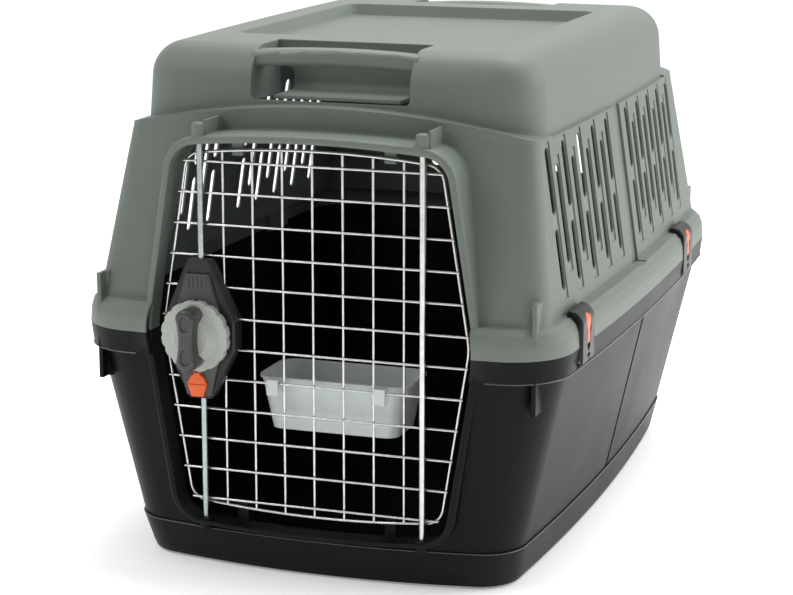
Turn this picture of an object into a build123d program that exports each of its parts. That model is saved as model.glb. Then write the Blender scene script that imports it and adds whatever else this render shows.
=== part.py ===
# Pet transport box with a wire door, in millimetres.
# X runs across the box, Y from the door end (-Y) to the back, +Z up.
# The origin is the middle of the base, on the floor.

import os
from math import pi

from build123d import *

os.makedirs("parts", exist_ok=True)

# Shell: seam between the halves, belts and walls
wall = 3.0               # wall thickness of both shells
belt_half_w = 250.0      # half width at the seam
belt_half_d = 350.0      # half length at the seam
belt_bow_w = 12.0        # how far the long sides bow out
belt_bow_d = 8.0         # how far the ends bow out
belt_corner = 60.0
seam_z = 232.0
flange_h = 22.0          # dark belt of the lower shell
flange_draft = 2.5
cap_h = 28.0             # grey belt of the upper shell
tongue_h = 3.5           # rim of the lower shell that locates the upper one
tongue_t = 1.6
tongue_gap = 0.5

# Lower shell
base_inset_w = 6.5       # flat base, in from the plinth
base_inset_d = 9.0
plinth_inset_w = 36.5    # plinth, in from the top of the tub
plinth_inset_d = 8.0
plinth_bow_w = 13.0
plinth_bow_d = 22.0
plinth_corner = 42.0
plinth_h = 38.0
plinth_step = 1.5        # how far the wall stands back above the plinth
base_round = 7.0
tub_inset_w = 7.0        # wall under the flange, in from the belt
tub_inset_d = 9.0
tub_corner = 55.0

# Upper shell
foot_inset_w = 18.0      # wall where it leaves the belt, in from the seam
foot_inset_d = 17.0
foot_bow_w = 8.0
foot_bow_d = 8.0
foot_corner = 22.0
ridge_z = 421.0
ridge_inset_w = 24.0     # in from the foot of the wall
ridge_inset_d = 34.0
ridge_bow = 6.0
ridge_bow_d = 16.0       # bow of the ends at the ridge
ridge_corner = 16.0
arch_rise = 26.0         # curved brow over each end
roof_top = 498.0
roof_inset_w = 3.5       # in from the ridge
roof_inset_d = 19.0
roof_draft = 4.3         # degrees
roof_round = 34.0
roof_corner = 45.0
tray_inset_w = 62.5      # shallow tray, in from the sides of the roof
tray_inset_d = 117.0
tray_depth = 12.0

# Carrying handles moulded in the roof, one at each end
handle_half_w = 79.0
handle_inset = 76.0      # inner edge of the hand slot, in from the end of the roof
bar_setback = 35.0       # from that edge to the back of the bar
bar_depth = 26.0
bar_h = 15.5
bar_drop = 20.0          # underside of the bar, down from the roof
bar_rise = 3.0           # the bar arches up a little in the middle
sill_drop = 49.0         # lower edge of the hand space, down from the roof
hand_corner = 5.0
scoop_lift = 2.0         # floor of the curved pan behind the bar, over that edge
scoop_t = 3.0
scoop_depth = 54.0       # from the slot's inner edge to the pan's free edge
scoop_half_w = 64.0
scoop_bend = 8.0

# Vent slots in the walls
vent_high_w = 13.5
vent_mid_w = 12.0
vent_low_w = 11.5
vent_high = (352.0, 414.0)
vent_low = (282.0, 339.0)
vent_mid = (303.0, 396.0)
vent_inset = 94.5        # first column, in from the end of the belt
vent_rear_y = 32.0
vent_pitch = 51.0
vent_columns = 5
vent_flute = 1.0         # depth of the shallow flute round each slot
flute_over = 2.5         # how far the flute reaches past its slot
groove_y = -6.0          # upright groove between the two groups of slots
groove_w = 24.0
groove_depth = 2.6
low_groove_w = 7.0       # its narrow counterpart in the lower wall
low_groove_depth = 1.5
rear_vents = 7
rear_vent_w = 11.5
rear_vent_pitch = 30.0
rear_vent_z = (292.0, 386.0)

# Door opening and its raised surround
door_mid = 234.0         # height where the door is widest
door_slope = 0.16        # how fast the sides draw in
arch_drop = 7.6          # drop of the curved ends at the corners
open_half = 162.0
open_low = 44.0
open_high = 418.5
open_corner = 27.0
rim_w = 7.0
rim_inset = 12.5         # front of the surround, in from the end of the belt
rim_round = 3.5
surround_depth = 57.5    # from the rim back into the walls
stop_x = 75.0
stop_w = 11.0
stop_t = 4.5
stop_play = 0.8

# Wire door
frame_half = 152.5
frame_low = 58.5
frame_high = 410.0
frame_corner = 18.0
frame_wire = 3.0
frame_setback = 15.4     # wire frame, back from the front of the surround
mesh_wire = 2.4
mesh_pitch = 29.8
mesh_top = 395.9
mesh_rows = 12
mesh_columns = 7
weld = 0.15              # how deep the wires melt into one another
rod_x = 109.5
rod_d = 6.0
rod_low = 44.0
rod_high = 426.0
rod_play = 0.4
boss_r = 6.8
boss_low_h = 12.0
boss_top = 433.0
boss_wing = 2.5          # thickness of the web beside each upper boss
wing_top = 435.5

# Lock on the door
lock_z = 233.0
lock_half = 36.0
lock_tip = 12.0
lock_up = 71.0
lock_down = 63.0
lock_wall = 2.5
lock_depth = 12.0
plate_t = 3.2
cover_t = 4.3
cover_inset_w = 14.0     # grey cover, in from the sides of the housing
cover_inset_top = 13.0
tooth_module = 1.5
pinion_teeth = 12
rack_back = 4.0
rack_t = 4.6
axle_d = 8.0
axle_play = 0.4
dial_r = 34.0
dial_t = 7.5
dial_lobes = 16
hub_r = 24.0
grip_len = 60.0
grip_w = 20.0
grip_waist = 15.0
grip_reach = 34.5        # front of the grip, out from the surround
button_z = 186.0
button_half = 10.0
button_up = 11.5
button_down = 12.4
button_t = 3.0
spring_r = 1.9
spring_wire = 0.6
spring_turns = 6
screw_d = 3.0
screw_head = 6.0

# Water bowl
bowl_x = 14.0
bowl_half_w = 75.5
bowl_half_d = 38.0
bowl_setback = 4.1       # front of the bowl, back from the wire frame
bowl_h = 51.5
bowl_taper_w = 12.0
bowl_taper_d = 7.0
bowl_wall = 2.0
bowl_corner = 16.0
bowl_row = 7             # wire that it hangs on, counted from the top
hook_w = 11.0
hook_left = -40.0
hook_right = 67.0
hook_drop = 11.0
hook_t = 2.2

# Clips that hold the shells together
clip_w = 45.0
clip_t = 7.5
clip_proud = 1.5         # how far its face stands out of the belt
clip_end_play = 0.8
clip_play = 0.6
ledge_play = 1.0
clip_over = 6.0          # height of the hook over the ledge
clip_shoulder = 8.0      # where its outside starts to round over, under the ledge
hook_gap = 1.0           # from its tip to the wall
clip_lip_play = 1.3      # under the clip's round lower end
clip_front_inset = 103.0  # from the front end of the belt
clip_rear_inset = 170.0
pin_d = 4.0
pin_play = 0.06
pin_z = 217.5
knuckle_r = 3.7
lug_w = 9.0
catch_z = 246.0
catch_w = 9.0
catch_head = 16.0        # round upper end that the finger pushes
catch_len = 29.0
catch_travel = 6.0
catch_flange = 2.2
catch_play = 0.4

# Tie-down lugs at the corners
lug_inset_d = 31.0       # from the end of the belt
lug_inset_w = 32.0
lug_t = 4.0
lug_rise = 21.0
lug_rib_reach = 12.5     # how far the outer rib reaches past the fin

# Sizes that follow from the ones above
flange_z = seam_z - flange_h
ledge_z = seam_z + cap_h
tub_half_w = belt_half_w - tub_inset_w
tub_half_d = belt_half_d - tub_inset_d
plinth_half_w = tub_half_w - plinth_inset_w
plinth_half_d = tub_half_d - plinth_inset_d
base_half_w = plinth_half_w - base_inset_w
base_half_d = plinth_half_d - base_inset_d
foot_half_w = belt_half_w - foot_inset_w
foot_half_d = belt_half_d - foot_inset_d
ridge_half_w = foot_half_w - ridge_inset_w
ridge_half_d = foot_half_d - ridge_inset_d
roof_half_w = ridge_half_w - roof_inset_w
roof_half_d = ridge_half_d - roof_inset_d
tray_half_w = roof_half_w - tray_inset_w
tray_half_d = roof_half_d - tray_inset_d
handle_back = roof_half_d - handle_inset
bar_back = handle_back + bar_setback
bar_underside = roof_top - bar_drop
sill_z = roof_top - sill_drop
scoop_z = sill_z + scoop_lift
scoop_front = handle_back + scoop_depth
vent_front_y = vent_inset - belt_half_d
rim_front = rim_inset - belt_half_d
frame_y = rim_front + frame_setback
grip_front = rim_front - grip_reach
bowl_front = frame_y + bowl_setback
clip_front_y = clip_front_inset - belt_half_d
clip_rear_y = belt_half_d - clip_rear_inset
lug_y = belt_half_d - lug_inset_d
lug_span = belt_half_w - lug_inset_w
lug_rib_front = lug_y + lug_rib_reach
rows = [mesh_top - mesh_pitch * i for i in range(mesh_rows)]
columns = [mesh_pitch * (j - (mesh_columns - 1) / 2) for j in range(mesh_columns)]
row_y = frame_y - (frame_wire + mesh_wire) / 2 + weld
column_y = row_y + mesh_wire - weld
hinge_y = row_y - (mesh_wire + rod_d) / 2 + weld
bolt_y = row_y - (mesh_wire + rod_d) / 2 - rod_play
lock_back = row_y - mesh_wire / 2 - 0.05
lock_front = lock_back - lock_depth
cover_front = lock_front - cover_t
dial_back = cover_front - 0.4
dial_front = dial_back - dial_t
pinion_r = tooth_module * pinion_teeth / 2
bolt_travel = pinion_r * pi / 2
rack_x = pinion_r + 1.25 * tooth_module + rack_back


def plan(z, half_w, half_d, bow_w, bow_d, corner):
    """Outline of the box at height z: four bowed sides and round corners."""
    x = half_w - bow_w
    y = half_d - bow_d
    with BuildSketch(Plane.XY.offset(z)) as outline:
        with BuildLine():
            ThreePointArc((-x, -y), (0, -half_d), (x, -y))
            ThreePointArc((x, -y), (half_w, 0), (x, y))
            ThreePointArc((x, y), (0, half_d), (-x, y))
            ThreePointArc((-x, y), (-half_w, 0), (-x, -y))
        make_face()
        fillet(outline.vertices(), corner)
    return outline.sketch


def belt(z, inset):
    """Section of the belt, drawn in by inset from the seam."""
    return plan(z, belt_half_w - inset, belt_half_d - inset, belt_bow_w, belt_bow_d, belt_corner - inset)


def belt_x(y):
    """Half width of the seam at a distance y from the middle."""
    return belt_half_w - belt_bow_w * (y / (belt_half_d - belt_bow_d)) ** 2


def tub(z, inset):
    """Section of the lower wall between plinth and flange."""
    share = (z - plinth_h) / (flange_z - plinth_h)
    half_w = plinth_half_w - plinth_step + share * (tub_half_w - plinth_half_w + plinth_step)
    half_d = plinth_half_d - plinth_step + share * (tub_half_d - plinth_half_d + plinth_step)
    bow_w = plinth_bow_w + share * (belt_bow_w - plinth_bow_w)
    bow_d = plinth_bow_d + share * (belt_bow_d - plinth_bow_d)
    corner = plinth_corner + share * (tub_corner - plinth_corner)
    return plan(z, half_w - inset, half_d - inset, bow_w, bow_d, corner - inset)


def hood(z, inset):
    """Section of the upper wall between belt and ridge."""
    share = (z - ledge_z) / (ridge_z - ledge_z)
    half_w = foot_half_w + share * (ridge_half_w - foot_half_w)
    half_d = foot_half_d + share * (ridge_half_d - foot_half_d)
    bow_w = foot_bow_w + share * (ridge_bow - foot_bow_w)
    bow_d = foot_bow_d + share * (ridge_bow_d - foot_bow_d)
    corner = foot_corner + share * (ridge_corner - foot_corner)
    return plan(z, half_w - inset, half_d - inset, bow_w, bow_d, corner - inset)


def ridge(z, inset):
    """Section of the wall's top edge."""
    return plan(z, ridge_half_w - inset, ridge_half_d - inset, ridge_bow, ridge_bow_d, ridge_corner - inset)


def roof(z, inset):
    """Section of the roof block where it leaves the ridge."""
    return plan(z, roof_half_w - inset, roof_half_d - inset, ridge_bow, ridge_bow, roof_corner - inset)


def door_shape(half, low, high, corner):
    """Six-sided outline with curved ends, drawn in the plane's own X and Y."""
    top_z = high - arch_drop
    low_z = low + arch_drop
    top_x = half - door_slope * (top_z - door_mid)
    low_x = half - door_slope * (door_mid - low_z)
    with BuildSketch() as outline:
        with BuildLine():
            ThreePointArc((-top_x, top_z), (0, high), (top_x, top_z))
            Polyline((top_x, top_z), (half, door_mid), (low_x, low_z))
            ThreePointArc((low_x, low_z), (0, low), (-low_x, low_z))
            Polyline((-low_x, low_z), (-half, door_mid), (-top_x, top_z))
        make_face()
        waist = outline.vertices().filter_by(lambda v: low_z + 1 < v.Y < top_z - 1)
        fillet(waist, 3 * corner)
        ends = outline.vertices().filter_by(lambda v: v.Y > top_z - 1 or v.Y < low_z + 1)
        fillet(ends, corner)
    return outline.sketch


def opening_edge(x, end_z, sign):
    """Height of the opening's curved end at x; sign is 1 for the top."""
    half = open_half - door_slope * (abs(end_z - door_mid) - arch_drop)
    return end_z - sign * arch_drop * (x / half) ** 2


def wall_x(y, z):
    """Half width of the upper wall at y and height z."""
    lean = (foot_half_w - ridge_half_w) / (ridge_z - ledge_z)
    return foot_half_w - foot_bow_w * (y / foot_half_d) ** 2 - lean * (z - ledge_z)


def wall_strip(y, width, low, high, outer, inner):
    """Slab along the sloping upper wall at y, between two distances from its face."""
    with BuildSketch(Plane.XZ.offset(-y - width / 2)) as strip:
        with BuildLine():
            Polyline(
                (wall_x(y, low) + outer, low), (wall_x(y, high) + outer, high),
                (wall_x(y, high) + inner, high), (wall_x(y, low) + inner, low),
                close=True,
            )
        make_face()
    return strip.sketch


# Raised surround of the door opening, shared out between the two shells
with BuildPart() as surround:
    with BuildSketch(Plane.XZ.offset(-rim_front)):
        add(door_shape(open_half + rim_w, open_low - rim_w * 0.65, open_high + rim_w, open_corner + rim_w))
    extrude(amount=-surround_depth)
    fillet(surround.faces().sort_by(Axis.Y)[0].edges(), rim_round)

with BuildPart() as surround_low:
    add(surround.part)
    split(bisect_by=Plane.XY.offset(seam_z), keep=Keep.BOTTOM)

with BuildPart() as surround_high:
    add(surround.part)
    split(bisect_by=Plane.XY.offset(seam_z), keep=Keep.TOP)

# Hole of the door, cut through whichever half it meets
with BuildPart() as doorway:
    with BuildSketch(Plane.XZ.offset(belt_half_d + 10)):
        add(door_shape(open_half, open_low, open_high, open_corner))
    extrude(amount=-(belt_half_d + 30 - roof_half_d))

# Roof block as a solid, for the shell and for the handle pockets
with BuildPart() as roof_form:
    with BuildSketch(Plane.XY.offset(ridge_z)):
        add(roof(0, 0))
    extrude(amount=roof_top - ridge_z, taper=roof_draft)
    fillet(roof_form.faces().sort_by(Axis.Z)[-1].edges(), roof_round)

with BuildPart() as roof_void:
    with BuildSketch(Plane.XY.offset(ridge_z - wall)):
        add(roof(0, wall))
    extrude(amount=roof_top - ridge_z, taper=roof_draft)
    fillet(roof_void.faces().sort_by(Axis.Z)[-1].edges(), roof_round - wall)

# Hand space through the roof's front edge: everything over the sill, back to the slot's edge
with BuildPart() as hand_space:
    with BuildSketch(Plane.XZ.offset(handle_back)):
        with BuildLine():
            Polyline(
                (-handle_half_w, roof_top + 1), (-handle_half_w, sill_z),
                (handle_half_w, sill_z), (handle_half_w, roof_top + 1),
                close=True,
            )
        make_face()
    extrude(amount=roof_half_d + 20 - handle_back)
    fillet(hand_space.faces().sort_by(Axis.Z)[0].edges().filter_by(Axis.Y), hand_corner)

# Cheeks that close the hand space at both sides, trimmed to the roof
with BuildPart() as cheeks:
    with BuildSketch(Plane.XY.offset(sill_z - wall)):
        with GridLocations(2 * handle_half_w + wall, 0, 2, 1):
            with Locations((0, -(handle_back + roof_half_d) / 2)):
                Rectangle(wall, roof_half_d - handle_back + 2 * wall)
    extrude(amount=roof_top - sill_z + wall)
    add(roof_form.part, mode=Mode.INTERSECT)

# Pan behind the bar: down from the slot's edge, then forward to a free lip
with BuildPart() as scoop:
    with BuildSketch(Plane.YZ.offset(-handle_half_w - wall)) as scoop_side:
        with BuildLine():
            Polyline(
                (-handle_back, roof_top - 1), (-handle_back, scoop_z), (-scoop_front, scoop_z),
                (-scoop_front, scoop_z - scoop_t), (-handle_back + scoop_t, scoop_z - scoop_t),
                (-handle_back + scoop_t, roof_top - 1),
                close=True,
            )
        make_face()
        corners = scoop_side.vertices().group_by(Axis.Y)
        fillet(corners[1].sort_by(Axis.X)[-1], scoop_bend)
        fillet(scoop_side.vertices().group_by(Axis.Y)[0].sort_by(Axis.X)[-1], scoop_bend + scoop_t)
    extrude(amount=2 * (handle_half_w + wall))
    # Its lower part is narrower than the slot
    with BuildSketch(Plane.XZ.offset(handle_back - 2 * wall)):
        with BuildLine():
            Polyline(
                (-handle_half_w - wall, roof_top), (-handle_half_w - wall, bar_underside + 6),
                (-scoop_half_w, bar_underside - 10), (-scoop_half_w, sill_z - 20),
                (scoop_half_w, sill_z - 20), (scoop_half_w, bar_underside - 10),
                (handle_half_w + wall, bar_underside + 6), (handle_half_w + wall, roof_top),
                close=True,
            )
        make_face()
    extrude(amount=scoop_front - handle_back + 3 * wall, mode=Mode.INTERSECT)

# Bar of the handle, a rounded bar that arches up a little
with BuildPart() as handle_bar:
    half = handle_half_w + wall
    bar_z = bar_underside + bar_h / 2
    bar_y = -bar_back - bar_depth / 2
    with BuildLine(Plane.XZ.offset(-bar_y)):
        arc = ThreePointArc((-half, bar_z), (0, bar_z + bar_rise), (half, bar_z))
    with BuildSketch(Plane(origin=arc @ 0, x_dir=(0, 1, 0), z_dir=arc % 0)):
        RectangleRounded(bar_depth, bar_h, 5)
    sweep()


def brow_form(inset):
    """Brow that arches over the door end, on the line of the ridge."""
    half = ridge_half_w - inset
    low = ridge_z - wall
    with BuildPart() as form:
        with BuildSketch(Plane.XY.offset(low)):
            add(ridge(0, inset))
        extrude(amount=arch_rise + wall)
        with BuildSketch(Plane.XZ.offset(ridge_half_d + 5)):
            with BuildLine():
                high = ridge_z - inset
                ThreePointArc((-half, high), (0, high + arch_rise), (half, high))
                Polyline((half, high), (half, low - 1), (-half, low - 1), (-half, high))
            make_face()
        extrude(amount=-(ridge_half_d + 5 - roof_half_d + roof_corner), mode=Mode.INTERSECT)
    return form.part


brow = brow_form(0)
brow_void = brow_form(wall)

# Upright slots of the long walls: long rows above and below, a middle row between
long_y = [start + vent_pitch * i for start in (vent_front_y, vent_rear_y) for i in range(vent_columns)]
mid_y = [y + vent_pitch / 2 for i, y in enumerate(long_y) if (i + 1) % vent_columns]
vent_rows = (
    (vent_high, vent_high_w, long_y),
    (vent_low, vent_low_w, long_y),
    (vent_mid, vent_mid_w, mid_y),
)
with BuildPart() as vents:
    for span, width, places in vent_rows:
        with BuildSketch(Plane.YZ.offset(-belt_half_w)):
            with Locations([(y, (span[0] + span[1]) / 2) for y in places]):
                SlotOverall(span[1] - span[0], width, rotation=90)
        extrude(amount=2 * belt_half_w)
    # Slots of the back wall
    with BuildSketch(Plane.XZ.offset(-foot_half_d - 5)):
        with Locations([(rear_vent_pitch * (i - (rear_vents - 1) / 2), sum(rear_vent_z) / 2)
                        for i in range(rear_vents)]):
            SlotOverall(rear_vent_z[1] - rear_vent_z[0], rear_vent_w, rotation=90)
    extrude(amount=foot_half_d - roof_half_d + 40)

# Shallow flutes that carry the slots, sunk into the sloping side walls
with BuildPart() as flutes:
    for places, width, low, high in (
        (long_y, vent_high_w, vent_low[0] - 8, vent_high[1] + 5),
        (mid_y, vent_mid_w, vent_mid[0] - 8, vent_mid[1] + 8),
    ):
        for y in places:
            strip = wall_strip(y, width + flute_over, low, high, 20, -vent_flute)
            extrude(strip, amount=width + flute_over, dir=(0, -1, 0))
    mirror(about=Plane.YZ)

# Upright groove between the groups of slots, and the thicker wall behind it
with BuildPart() as grooves:
    strip = wall_strip(groove_y, groove_w, ledge_z - 1, ridge_z + 1, 20, -groove_depth)
    extrude(strip, amount=groove_w, dir=(0, -1, 0))
    mirror(about=Plane.YZ)

with BuildPart() as groove_backs:
    strip = wall_strip(groove_y, groove_w + 4, ledge_z, ridge_z - 4, -wall / 2, -wall - groove_depth)
    extrude(strip, amount=groove_w + 4, dir=(0, -1, 0))
    mirror(about=Plane.YZ)


# Tie-down lug: a fin with a notch, drawn for the front right corner
def lug_fin(tip_z, notch_z, root_z, inner_x):
    """Fin of a lug between its tip and its root, as a closed sketch in X and Z."""
    with BuildSketch() as fin:
        with BuildLine():
            Polyline(
                (lug_span, root_z),
                (lug_span, tip_z),
                (lug_span - 8, tip_z),
                (lug_span - 8, notch_z),
                (inner_x, notch_z),
                (inner_x, root_z),
                close=True,
            )
        make_face()
    return fin.sketch


def lug_rib(z):
    """Plan of the upright rib at the outer edge of a corner lug, at height z."""
    with BuildSketch(Plane.XY.offset(z)) as rib:
        with Locations((lug_span - lug_t / 2, lug_t - (lug_rib_front + lug_y) / 2)):
            Rectangle(lug_t, lug_rib_front - lug_y + 2 * lug_t)
    return rib.sketch


with BuildPart() as lugs_high:
    with BuildSketch(Plane.XZ.offset(lug_y - lug_t / 2)):
        add(lug_fin(ledge_z + lug_rise + 2, ledge_z + lug_rise - 5, ledge_z - wall, lug_span - 26))
    extrude(amount=lug_t)
    extrude(lug_rib(seam_z + 5), amount=ledge_z + lug_rise - seam_z - 3)
    mirror(about=Plane.YZ)
    mirror(about=Plane.XZ)

with BuildPart() as lugs_low:
    with BuildSketch(Plane.XZ.offset(lug_y - lug_t / 2)):
        add(lug_fin(flange_z - lug_rise - 9, flange_z - lug_rise - 2, flange_z + wall, lug_span - 26))
    extrude(amount=lug_t)
    extrude(lug_rib(flange_z - lug_rise - 9), amount=seam_z - flange_z + lug_rise + 4)
    mirror(about=Plane.YZ)
    mirror(about=Plane.XZ)

# Bosses that hold the hinge rod on the right and the bolts on the left
rods = ((rod_x, hinge_y), (-rod_x, bolt_y))
with BuildPart() as bosses_high:
    for x, y in rods:
        low = opening_edge(x, open_high, 1)
        with BuildSketch(Plane.XY.offset(low)):
            with Locations((x, y)):
                Circle(boss_r)
        extrude(amount=boss_top - low)
    fillet(bosses_high.faces().sort_by(Axis.Z)[-2:].edges(), 3)
    # Web that ties each boss to the wall behind it
    for x, y in rods:
        low = opening_edge(x, open_high, 1)
        with BuildSketch(Plane.XY.offset(low)):
            with Locations((x + boss_r - boss_wing / 2 + 1, (y - ridge_half_d) / 2)):
                Rectangle(boss_wing, -y - ridge_half_d + 4)
        extrude(amount=wing_top - low)

with BuildPart() as bosses_low:
    for x, y in rods:
        top = opening_edge(x, open_low, -1) + 1
        with BuildSketch(Plane.XY.offset(top - boss_low_h)):
            with Locations((x, y)):
                Circle(boss_r * 0.7)
        with BuildSketch(Plane.XY.offset(top)):
            with Locations((x, y)):
                Circle(boss_r + 1.5)
        loft()

with BuildPart() as rod_holes:
    for x, y in rods:
        with BuildSketch(Plane.XY.offset(rod_low - 2)):
            with Locations((x, y)):
                Circle(rod_d / 2 + rod_play)
        extrude(amount=rod_high - rod_low + 4)

# Short tunnel wall round the doorway, deep enough to carry the door's stops
with BuildPart() as tunnel:
    with BuildSketch(Plane.XZ.offset(-rim_front - rim_round)):
        add(door_shape(open_half + wall, open_low - wall, open_high + wall, open_corner + wall))
    extrude(amount=-(frame_y + frame_wire / 2 + stop_play + stop_t + 1 - rim_front - rim_round))

with BuildPart() as tunnel_low:
    add(tunnel.part)
    split(bisect_by=Plane.XY.offset(seam_z), keep=Keep.BOTTOM)

with BuildPart() as tunnel_high:
    add(tunnel.part)
    split(bisect_by=Plane.XY.offset(seam_z), keep=Keep.TOP)

# Outside of the two belts, from which the clips' recesses are cut
with BuildPart() as cap_form:
    loft(
        sections=[
            belt(seam_z, 0),
            belt(seam_z + cap_h * 0.5, 1.0),
            belt(seam_z + cap_h * 0.8, 3.5),
            belt(ledge_z, 9.5),
        ],
        ruled=True,
    )

with BuildPart() as flange_form:
    loft(sections=[belt(flange_z, flange_draft), belt(seam_z, 0)], ruled=True)


def clip_inner(y):
    """Inner face of a clip, from the middle of the box."""
    return belt_x(y) + clip_proud - clip_t


def clip_blocks(low, high, back, spread):
    """Blocks in the places of the four clips, grown by back inwards and spread sideways."""
    with BuildPart() as blocks:
        for y in (clip_front_y, clip_rear_y):
            floor_x = clip_inner(y) - clip_play
            with BuildSketch(Plane.XY.offset(low)):
                with Locations((floor_x - back + 20, y)):
                    Rectangle(40, clip_w + 2 * (clip_end_play + spread))
            extrude(amount=high - low)
        mirror(about=Plane.YZ)
    return blocks.part


recess_floor = pin_z - clip_t / 2 - clip_lip_play
with BuildPart() as recess_walls_high:
    add(clip_blocks(seam_z, ledge_z, wall, wall))
    add(cap_form.part, mode=Mode.INTERSECT)

with BuildPart() as recess_walls_low:
    add(clip_blocks(flange_z, seam_z, wall, wall))
    add(flange_form.part, mode=Mode.INTERSECT)

# Stops behind the door's frame, at the top and the foot of the opening
with BuildPart() as stops:
    for x in (-stop_x, stop_x):
        for end_z, inner_z, sign in ((open_high, frame_high - 8, 1), (open_low, frame_low + 8, -1)):
            edge = opening_edge(x, end_z, sign) + sign * wall
            with BuildSketch(Plane.XZ.offset(-frame_y - frame_wire / 2 - stop_play)):
                with Locations((x, (edge + inner_z) / 2)):
                    Rectangle(stop_w, abs(edge - inner_z))
            extrude(amount=-stop_t)

# Lower shell
with BuildPart() as lower_shell:
    # Plinth with a rounded foot
    loft(
        sections=[
            plan(0, base_half_w - base_round, base_half_d - base_round, plinth_bow_w, plinth_bow_d,
                 plinth_corner - base_round),
            plan(base_round * 0.3, base_half_w - base_round * 0.3, base_half_d - base_round * 0.3,
                 plinth_bow_w, plinth_bow_d, plinth_corner - base_round * 0.3),
            plan(base_round, base_half_w, base_half_d, plinth_bow_w, plinth_bow_d, plinth_corner),
            plan(plinth_h, plinth_half_w, plinth_half_d, plinth_bow_w, plinth_bow_d, plinth_corner),
        ],
        ruled=True,
    )
    # Wall, then the belt flange
    loft(sections=[tub(plinth_h, 0), tub(flange_z + flange_h / 2, 0)], ruled=True)
    add(flange_form.part)
    # Rim that locates the upper shell
    with BuildSketch(Plane.XY.offset(seam_z)):
        add(belt(0, wall + tongue_gap))
    extrude(amount=tongue_h)
    add(surround_low.part)
    add(lugs_low.part)
    # Inside
    loft(
        sections=[
            plan(wall, base_half_w - wall - 1, base_half_d - wall - 1, plinth_bow_w, plinth_bow_d,
                 plinth_corner - wall),
            tub(plinth_h, wall),
            tub(flange_z, wall),
            belt(seam_z, wall + tongue_gap + tongue_t),
        ],
        ruled=True,
        mode=Mode.SUBTRACT,
    )
    with BuildSketch(Plane.XY.offset(seam_z)):
        add(belt(0, wall + tongue_gap + tongue_t))
    extrude(amount=tongue_h, mode=Mode.SUBTRACT)
    # Lower half of the doorway, with its bosses and stops
    add(tunnel_low.part)
    add(doorway.part, mode=Mode.SUBTRACT)
    add(bosses_low.part)
    add(stops.part.solids().filter_by(lambda s: s.center().Z < door_mid))
    add(rod_holes.part, mode=Mode.SUBTRACT)
    # Recesses in the belt for the clips, with the lugs that carry their pins
    add(recess_walls_low.part)
    add(clip_blocks(recess_floor, seam_z + tongue_h + 1, 0, 0), mode=Mode.SUBTRACT)
    gap = wall + tongue_gap
    add(clip_blocks(seam_z, seam_z + tongue_h + 1, gap, gap), mode=Mode.SUBTRACT)
    for side in (-1, 1):
        for y in (clip_front_y, clip_rear_y):
            pin_x = clip_inner(y) + clip_t / 2
            root = clip_play + clip_t / 2 + wall / 2
            with BuildSketch(Plane.XZ.offset(-y - lug_w / 2)):
                with Locations((side * pin_x, pin_z)):
                    Circle(knuckle_r)
                with Locations((side * (pin_x - root / 2), pin_z)):
                    Rectangle(root, 2 * knuckle_r)
                with Locations((side * pin_x, pin_z)):
                    Circle(pin_d / 2 + pin_play / 2, mode=Mode.SUBTRACT)
            extrude(amount=lug_w)
    # Narrow upright groove in each side wall, in line with the groove of the upper shell
    for side in (-1, 1):
        with BuildSketch(Plane.XZ.offset(-groove_y - low_groove_w / 2)):
            with BuildLine():
                foot_x = plinth_half_w - plinth_step - low_groove_depth
                head_x = tub_half_w - low_groove_depth
                Polyline(
                    (side * foot_x, plinth_h), (side * head_x, flange_z),
                    (side * (head_x + 20), flange_z), (side * (foot_x + 20), plinth_h),
                    close=True,
                )
            make_face()
        extrude(amount=low_groove_w, mode=Mode.SUBTRACT)
lower_shell.part.label = "lower_shell"
export_step(lower_shell.part, "parts/lower_shell.step")

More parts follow.
